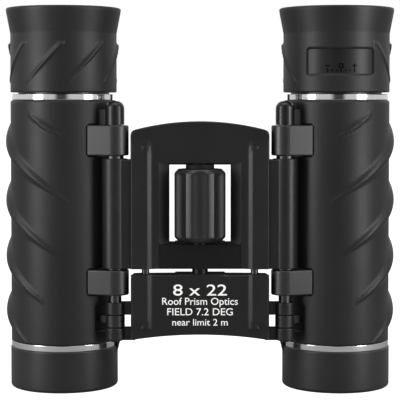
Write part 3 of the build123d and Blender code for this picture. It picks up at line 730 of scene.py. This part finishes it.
# %% One bent mark
PLATE_R = 12.35             # radius of the scale plate, mm
INK_LIFT = 0.00002          # the ink stands this far off the plate, m


def bent_strip(centre_deg, z_mid, half_width, half_height, count=6):
    """Corners of a small rectangle bent round the scale plate, as a grid of two rows."""
    spread = np.linspace(-1, 1, count) * half_width / PLATE_R
    angles = math.radians(centre_deg) + spread
    radius = PLATE_R * MM + INK_LIFT
    rows = [round_barrel(1, angles, radius, np.full(count, (z_mid + end * half_height) * MM))
            for end in (-1, 1)]
    return np.stack(rows)


print("points of one mark:", bent_strip(0, 77, 0.15, 0.4).shape[:2])


# %% Build the scale marks
def build_scale_marks():
    """Ticks 5 degrees apart along the plate's foot, with minus, zero and plus above them."""
    tick_z = 77.05
    sign_z = 78.15
    shapes = [(turn, tick_z, 0.15, 0.45 if turn % 15 == 0 else 0.28)
              for turn in np.arange(-15, 16, 5)]
    shapes += [(-15, sign_z, 0.52, 0.15), (15, sign_z, 0.52, 0.15), (15, sign_z, 0.15, 0.52)]
    shapes += [(-2.0, sign_z, 0.14, 0.52), (2.0, sign_z, 0.14, 0.52)]
    shapes += [(0, sign_z + 0.42, 0.42, 0.14), (0, sign_z - 0.42, 0.42, 0.14)]
    verts = []
    faces = []
    for shape in shapes:
        grid = bent_strip(*shape)
        base = sum(len(v) for v in verts)
        columns = grid.shape[1]
        number = np.arange(2 * columns).reshape(2, columns) + base
        quads = np.stack([number[0, :-1], number[0, 1:], number[1, 1:], number[1, :-1]], axis=-1)
        verts.append(grid.reshape(-1, 3))
        faces.append(quads)
    mesh = bpy.data.meshes.new("diopter_marks")
    mesh.from_pydata(np.vstack(verts).tolist(), [], np.vstack(faces).tolist())
    piece = bpy.data.objects.new("diopter_marks", mesh)
    bpy.context.scene.collection.objects.link(piece)
    finish_piece(piece, "diopter_ring", None, MARK)
    print("diopter marks:", len(shapes))


build_scale_marks()

# %% [markdown]
# ## Focus wheel
# The grip ring is a closed outline turned round the wheel's axis. Seven wide, shallow flutes give
# the finger a hold, and run between its rounded ends. Cylinders cut from the ring would leave sharp
# edges, and the moulded rubber has none, so a flute is a soft dip in the radius.

# %% Build the focus wheel's grip
WHEEL_FLUTES = 7
FLUTE_HALF = 19.0           # half width of a flute, degrees
FLUTE_DEPTH = 0.68
FLUTE_FADE = 1.5            # a flute fades out over this height at each end, mm
WHEEL_BORE = 4.42
EDGE_ROUND = 0.9


def build_wheel():
    """Outline of the ring with softly rounded ends; the flutes are dips in its radius."""
    low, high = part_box("focus_wheel_grip")
    wheel_r = (high[0] - low[0]) / 2 / MM
    z0, z1 = low[2] / MM, high[2] / MM
    shoulder_r = wheel_r - EDGE_ROUND
    outline = densify(rounded([
        (WHEEL_BORE, z0, 0.15), (shoulder_r, z0, 0.35), (wheel_r, z0 + EDGE_ROUND, EDGE_ROUND),
        (wheel_r, z1 - EDGE_ROUND, EDGE_ROUND), (shoulder_r, z1, 0.35), (WHEEL_BORE, z1, 0.15)],
        steps=8), 0.26)
    degrees = np.linspace(0, 360, 421)[:-1][:, None]
    r, z = outline[None, :, 0], outline[None, :, 1]
    pitch = 360 / WHEEL_FLUTES
    off = (degrees + pitch / 2) % pitch - pitch / 2
    across = np.clip(1 - (off / FLUTE_HALF) ** 2, 0, 1)
    along = smooth_step((z - z0) / FLUTE_FADE) * smooth_step((z1 - z) / FLUTE_FADE)
    dip = FLUTE_DEPTH * across ** 1.3 * along * (r > WHEEL_BORE + 0.5)
    angle = np.radians(degrees)
    radius = (r - dip) * MM
    x = radius * np.sin(angle)
    y = hinge_y - radius * np.cos(angle)
    points = np.stack([x, y, z * MM + 0 * angle], axis=-1)
    piece = grid_piece("focus_wheel_skin", points)
    finish_piece(piece, "focus_wheel", "focus_wheel_grip", WHEEL)


build_wheel()

# %% [markdown]
# ## Beads on the bridge plates
# The two plates carry broad, soft ridges over their guide pins. The section of a ridge is a smooth
# step with a nearly level top; towards each end its height runs out, or stops at the plate's edge.
# Each lies on its plate as a piece of its own, so the precise CAD plates stay as they are.

# %% Section of a bead
BEAD_SECTION = ((11.0, 0.0), (11.5, 0.08), (12.45, 0.66),   # from the middle of the bridge, mm
                (12.8, 0.74), (16.35, 0.50), (16.45, 0.0))  # and over the plate, mm
BEAD_SOFT = 0.16            # the section is averaged this far to each side, mm


def bead_section(count):
    """Ridge over the plate: a slope on the inner side, a level top, softened by averaging."""
    x = np.linspace(BEAD_SECTION[0][0], BEAD_SECTION[-1][0], count)
    corners = np.array(BEAD_SECTION)
    spread = np.linspace(-BEAD_SOFT, BEAD_SOFT, 9)[:, None]
    height = np.interp(x[None] + spread, corners[:, 0], corners[:, 1]).mean(axis=0)
    height[[0, -1]] = 0
    return x, height


print("a bead stands", round(float(bead_section(61)[1].max()), 2), "mm proud")


# %% Build the beads
def build_bead(label, side, body, low, high, run_low, run_high):
    """Closed skin: a grid of humps in front and a flat back just inside the plate.

    Height over the plate is the section across the ridge times a rise at each end.
    """
    heights = low + (high - low) * smooth_step(np.linspace(0, 1, 60))
    section_x, hump = bead_section(61)
    life = np.ones_like(heights)
    if run_low:
        life = life * smooth_step((heights - low) / run_low)
    if run_high:
        life = life * smooth_step((high - heights) / run_high)
    proud = hump[None, :] * life[:, None]
    x_front = side * section_x[None, :] + 0 * proud
    x_back = x_front[:, ::-1]
    y_front = plate_front / MM + 0.02 - proud
    y_back = plate_front / MM + 0.12 + 0 * proud
    x = np.concatenate([x_front, x_back], axis=1)
    y = np.concatenate([y_front, y_back], axis=1)
    z = heights[:, None] + 0 * x
    points = np.stack([x, y, z], axis=-1) * MM
    ends = [row * 0 + row.mean(axis=1, keepdims=True) for row in (points[:1], points[-1:])]
    points = np.concatenate([ends[0], points, ends[1]])
    piece = grid_piece(label, points, flip=side > 0, close_rows=False)
    finish_piece(piece, body, None, BRIDGE)


plate_front = hinge_y - 2.6 * MM
frame_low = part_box("bridge_frame")[0][2] / MM
for label, side in SIDES.items():
    build_bead(label + "_frame_bead", side, "bridge", frame_low, 61.6, 0.0, 4.6)
    build_bead(label + "_plate_bead", side, "focus_carriage", 14.2, 28.55, 3.4, 0.0)

# %% [markdown]
# ## Painted shade in the recess under the window
# The flat under the window lies in shade, and that shade is painted on: a thin near-black sheet lies in the
# recess. A second material on some faces of the plate would do, but the plate's mesh is left alone.

# %% Build the painted shade sheet in the recess
RECESS_HALF = 9.6           # half width of the sheet, mm
RECESS_DEPTH = 0.25


def build_painted_shade_sheet():
    """Thin closed sheet of painted shade: front face a hair over the recess floor, back face just inside it."""
    low, high = frame_low + 0.05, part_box("wheel_thrust_washers")[0][2] / MM - 0.45
    floor_y = plate_front / MM + RECESS_DEPTH
    x = RECESS_HALF * np.array([-1, 1, 1, -1])
    z = np.array([low, low, high, high])
    front = np.stack([x, np.full(4, floor_y - 0.03), z], axis=-1)
    back = np.stack([x, np.full(4, floor_y + 0.05), z], axis=-1)
    mesh = bpy.data.meshes.new("window_painted_shade_sheet")
    faces = [(0, 1, 2, 3), (7, 6, 5, 4), (4, 5, 1, 0), (5, 6, 2, 1), (6, 7, 3, 2), (7, 4, 0, 3)]
    mesh.from_pydata((np.vstack([front, back]) * MM).tolist(), [], faces)
    piece = bpy.data.objects.new("window_painted_shade_sheet", mesh)
    bpy.context.scene.collection.objects.link(piece)
    finish_piece(piece, "bridge", None, PAINTED_SHADE_FINISH)
    print("recess sheet", round(high - low, 2), "mm high")


build_painted_shade_sheet()

# %% [markdown]
# ## Printing
# Four lines of white printing on the focus plate. A picture of the words would blur up close, so
# each line is made as text, turned into a flat mesh and set a hair in front of the plate.

# %% Build the printing
PLATE_LINES = (("8 x 22", 24.9, 2.65, 12.8), ("Roof Prism Optics", 22.2, 1.7, 18.0),
               ("FIELD 7.2 DEG", 19.7, 1.7, 15.6), ("near limit 2 m", 17.2, 1.6, 13.2))
PRINT_LIFT = 0.00003        # the printing stands this far off the plate, m
STROKE_GROWTH = 0.005       # thickens the strokes, in text sizes


def printed_line(label, words, z_mid, cap_height, width):
    """Flat mesh of one line, scaled to a cap height and a total width in mm, facing the front."""
    curve = bpy.data.curves.new(label, "FONT")
    curve.body = words
    curve.size = 1.0
    curve.offset = STROKE_GROWTH
    curve.resolution_u = 4
    holder = bpy.data.objects.new(label + "_text", curve)
    bpy.context.scene.collection.objects.link(holder)
    bpy.context.view_layer.update()
    mesh = bpy.data.meshes.new_from_object(holder)
    bpy.data.objects.remove(holder)
    bpy.data.curves.remove(curve)
    mesh.name = label
    flat = np.empty(len(mesh.vertices) * 3, dtype=np.float32)
    mesh.vertices.foreach_get("co", flat)
    flat = flat.reshape(-1, 3)
    middle = (flat.min(axis=0) + flat.max(axis=0)) / 2
    wide = np.ptp(flat[:, 0])
    placed = np.empty_like(flat)
    placed[:, 0] = (flat[:, 0] - middle[0]) / wide * width * MM
    placed[:, 1] = plate_front - PRINT_LIFT
    placed[:, 2] = z_mid * MM + (flat[:, 1] - 0.35) * cap_height / 0.7 * MM
    mesh.vertices.foreach_set("co", placed.ravel())
    mesh.update()
    mesh.materials.clear()
    piece = bpy.data.objects.new(label, mesh)
    bpy.context.scene.collection.objects.link(piece)
    finish_piece(piece, "focus_carriage", None, INK)
    print(label, len(mesh.polygons), "faces")


for number, line in enumerate(PLATE_LINES):
    printed_line(f"plate_print_{number + 1}", *line)

# %% [markdown]
# ## Floor
# A black object on a pale floor throws light back up at itself, and a white floor would wash out
# its lower edges. So the floor looks nearly white to the camera and is grey to every other ray.

# %% Floor
FLOOR_HALF = 6.0            # half the width of the floor, m
FLOOR_GREY = 0.30           # what the object gets back from the floor
FLOOR_GLOW = 0.96           # what the camera sees of it besides


def build_floor():
    """Wide pale sheet that the object stands on."""
    row = np.array([[-FLOOR_HALF, 0, 0], [FLOOR_HALF, 0, 0]])
    across = np.array([0, FLOOR_HALF, 0])
    corners = np.stack([row - across, row + across])
    floor = grid_piece("floor", corners, flip=True, close_rows=False, close_columns=False)
    pale = bpy.data.materials.new("floor_pale")
    pale.use_nodes = True
    tree = pale.node_tree
    shader = tree.nodes["Principled BSDF"]
    shader.inputs["Base Color"].default_value = (FLOOR_GREY, FLOOR_GREY, FLOOR_GREY, 1)
    shader.inputs["Roughness"].default_value = 0.9
    glow = add(tree, "ShaderNodeEmission", values={"Strength": FLOOR_GLOW})
    seen = add(tree, "ShaderNodeAddShader")
    path = add(tree, "ShaderNodeLightPath")
    mix = add(tree, "ShaderNodeMixShader")
    tree.links.new(shader.outputs[0], seen.inputs[0])
    tree.links.new(glow.outputs[0], seen.inputs[1])
    tree.links.new(path.outputs["Is Camera Ray"], mix.inputs[0])
    tree.links.new(shader.outputs[0], mix.inputs[1])
    tree.links.new(seen.outputs[0], mix.inputs[2])
    tree.links.new(mix.outputs[0], tree.nodes["Material Output"].inputs[0])
    floor.data.materials.append(pale)


build_floor()

# %% [markdown]
# ## Light all round
# Glossy black shows what stands round it. In a studio that is a white tent with a slit for the
# camera, and the slit is the dark stripe down the middle of each bright ring. A world shader makes
# the tent: dark where a ray leaves nearly straight forwards or backwards, pale to the sides.

# %% World
TENT, TENT_SLIT = 0.84, 0.02      # brightness of the tent and of the slit in it
SLIT_EDGES = (0.12, 0.34)   # sideways part of a ray where the slit starts to fade and where it ends


def build_world():
    """White where the camera looks past the object; as light, a pale tent with a dark slit."""
    world = bpy.data.worlds.new("studio")
    bpy.context.scene.world = world
    world.use_nodes = True
    tree = world.node_tree
    back = tree.nodes["Background"]
    place = add(tree, "ShaderNodeTexCoord")
    way = add(tree, "ShaderNodeSeparateXYZ")
    side = add(tree, "ShaderNodeMath", operation="ABSOLUTE")
    slit = add(tree, "ShaderNodeMapRange", interpolation_type="SMOOTHSTEP",
               values={"From Min": SLIT_EDGES[0], "From Max": SLIT_EDGES[1],
                       "To Min": TENT_SLIT, "To Max": TENT})
    path = add(tree, "ShaderNodeLightPath")
    mix = add(tree, "ShaderNodeMix", data_type="FLOAT")
    mix.inputs[3].default_value = 1.0
    tree.links.new(place.outputs["Generated"], way.inputs[0])
    tree.links.new(way.outputs["X"], side.inputs[0])
    tree.links.new(side.outputs[0], slit.inputs["Value"])
    tree.links.new(path.outputs["Is Camera Ray"], mix.inputs["Factor"])
    tree.links.new(slit.outputs["Result"], mix.inputs[2])
    tree.links.new(mix.outputs[0], back.inputs["Strength"])
    back.inputs["Color"].default_value = (1, 1, 1, 1)
    print("world:", world.name, "with", len(tree.nodes), "nodes")


build_world()


# %% [markdown]
# ## Softboxes
# Two tall softboxes, left and right of the camera, draw the bright bands down the barrels, and a
# wide one overhead lifts the rims. Spot lamps would draw thin, hard streaks instead.

# %% Softboxes
def softbox(name, place, target, width, height, power):
    """Rectangular light that faces the target."""
    lamp = bpy.data.lights.new(name, "AREA")
    lamp.shape = "RECTANGLE"
    lamp.size = width
    lamp.size_y = height
    lamp.energy = power
    piece = bpy.data.objects.new(name, lamp)
    bpy.context.scene.collection.objects.link(piece)
    piece.location = place
    aim = np.array(target) - np.array(place)
    piece.rotation_euler = Vector(aim).to_track_quat("-Z", "Y").to_euler()


BOX_OUT, BOX_FORWARD = 0.175, 0.135     # of a tall softbox from its own barrel, m
BOX_WIDTH, BOX_HEIGHT = 0.08, 0.30
AIM_Z = 0.046               # half way up the object, m
for label, side in SIDES.items():
    place = (side * (barrel_x + BOX_OUT), barrel_y - BOX_FORWARD, 0.05)
    barrel_middle = (side * barrel_x, barrel_y, AIM_Z)
    softbox("softbox_" + label, place, barrel_middle, BOX_WIDTH, BOX_HEIGHT, 0.62)
softbox("softbox_top", (0.0, -0.1, 0.9), (0, barrel_y, AIM_Z), 0.7, 0.5, 3.0)
print("softboxes:", len(bpy.data.lights))

# %% [markdown]
# ## Camera
# The camera looks almost level, from a little above the bridge. It stands close, as for a product
# picture of something this small, so the far rims of the eyecups just show.

# %% Camera
EYE = 0.0688                # height of the camera over the floor, m
DISTANCE = 0.360            # of the camera from the barrels' axes, m
TILT = 2.3                  # degrees that it looks down
camera = bpy.data.cameras.new("camera")
camera.lens = 132.0
camera.sensor_width = 36.0
camera_piece = bpy.data.objects.new("camera", camera)
bpy.context.scene.collection.objects.link(camera_piece)
camera_piece.location = (0.0, barrel_y - DISTANCE, EYE)
camera_piece.rotation_euler = (math.pi / 2 - math.radians(TILT), 0, 0)
camera.shift_y = -0.09
bpy.context.scene.camera = camera_piece
bpy.context.scene.view_settings.view_transform = "Standard"
print("camera at", tuple(round(v, 3) for v in camera_piece.location))
